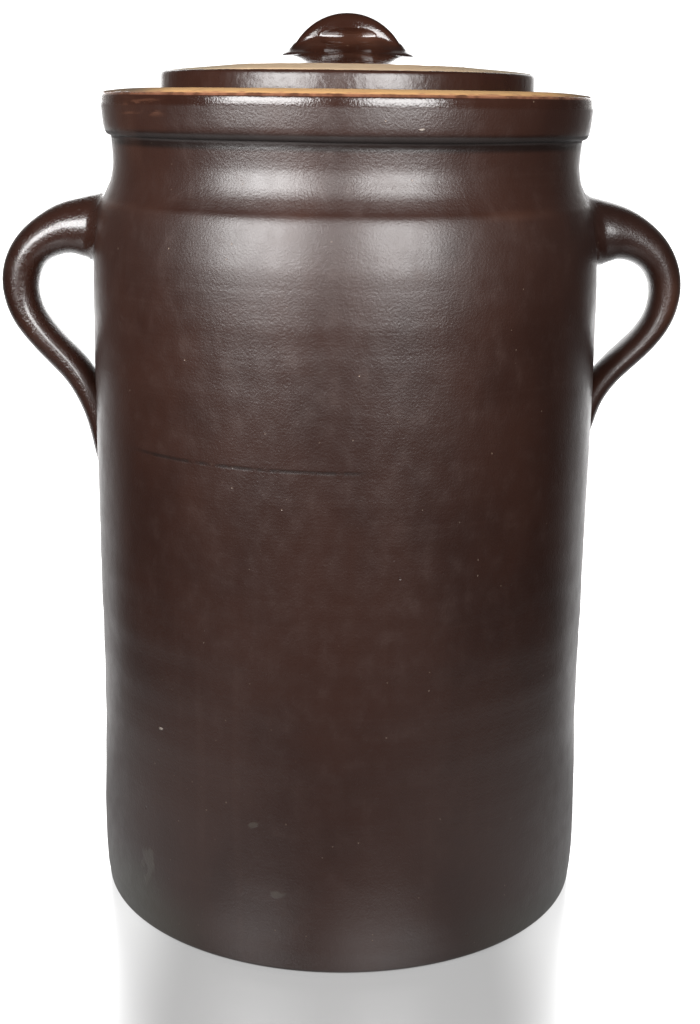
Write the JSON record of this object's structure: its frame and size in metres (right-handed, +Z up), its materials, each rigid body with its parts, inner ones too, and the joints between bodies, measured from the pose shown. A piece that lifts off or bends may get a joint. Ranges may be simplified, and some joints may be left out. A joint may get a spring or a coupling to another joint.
{
  "type": "rumtopf pot",
  "caption": "Tall round stoneware crock with a rolled collar, a wide flat rim, ear handles and a lift-off lid with a pinched half-moon knob.",
  "frame": {"origin": "centre of the flat base, on the surface that the crock stands on", "axes": "+Z up through the middle of the crock, the lid and the knob; +X through the right handle and -X through the left handle, so the knob's ridge lies along X; -Y towards the viewer of the picture"},
  "size_m": [0.3384, 0.2504, 0.4397],
  "materials": {
    "brown_glaze": "semi-gloss brown glaze over stoneware, with a bare clay rim shelf and base",
    "lid_glaze": "glossy brown glaze with a bare clay ring on top and a bare underside edge"
  },
  "bodies": {
    "crock": {"crock_base": "brown_glaze", "crock_wall": "brown_glaze", "crock_shoulder": "brown_glaze", "crock_rim": "brown_glaze", "left_handle": "brown_glaze", "right_handle": "brown_glaze"},
    "lid": {"lid_plate": "lid_glaze", "lid_knob": "lid_glaze"}
  },
  "joints": [
    {"name": "lid_lift", "type": "slide", "parent": "crock", "child": "lid", "axis": [0, 0, 1], "range_m": [0, 0.12]}
  ]
}
